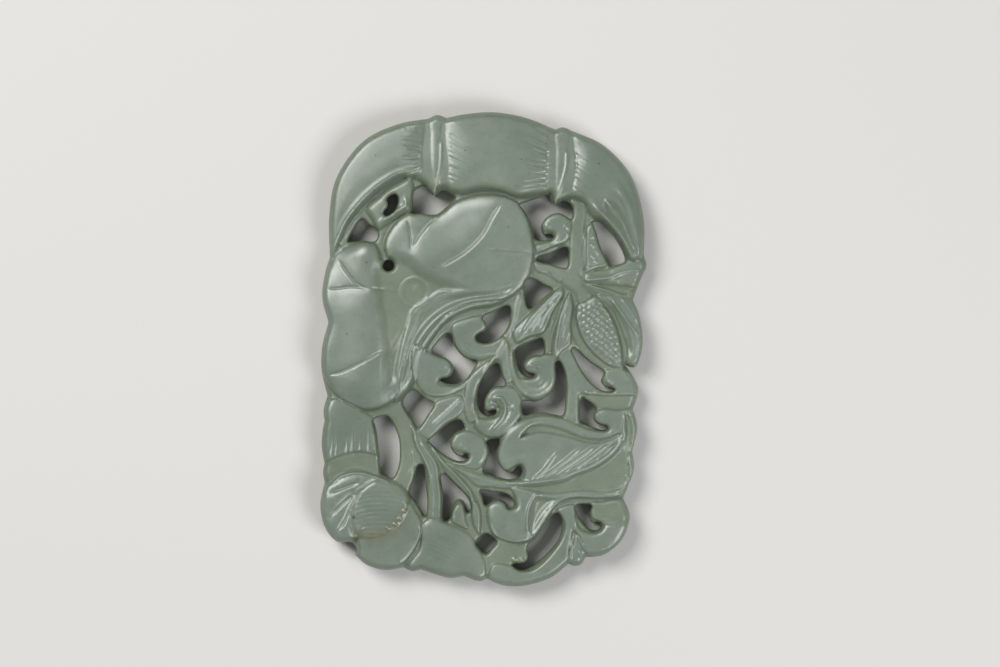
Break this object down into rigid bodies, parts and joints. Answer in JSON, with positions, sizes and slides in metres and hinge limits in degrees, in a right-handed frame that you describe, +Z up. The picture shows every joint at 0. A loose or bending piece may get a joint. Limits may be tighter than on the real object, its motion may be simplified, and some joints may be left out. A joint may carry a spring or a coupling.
{
  "type": "openwork jade plaque",
  "caption": "Flat-backed openwork jade plaque carved with a lotus root, a furled leaf, seed-pod flowers and scrolling stems, with a cord hole beside the leaf.",
  "frame": {"origin": "under the middle of the plaque, on the surface that its flat back rests on", "axes": "+X across the plaque towards the seed-pod flower, +Y along its length towards the lotus root, +Z up out of the carved front"},
  "size_m": [0.055, 0.08, 0.007],
  "materials": {
    "jade": "polished, softly translucent, grey-green"
  },
  "bodies": {
    "root": {"openwork_plaque": "jade"}
  },
  "joints": []
}
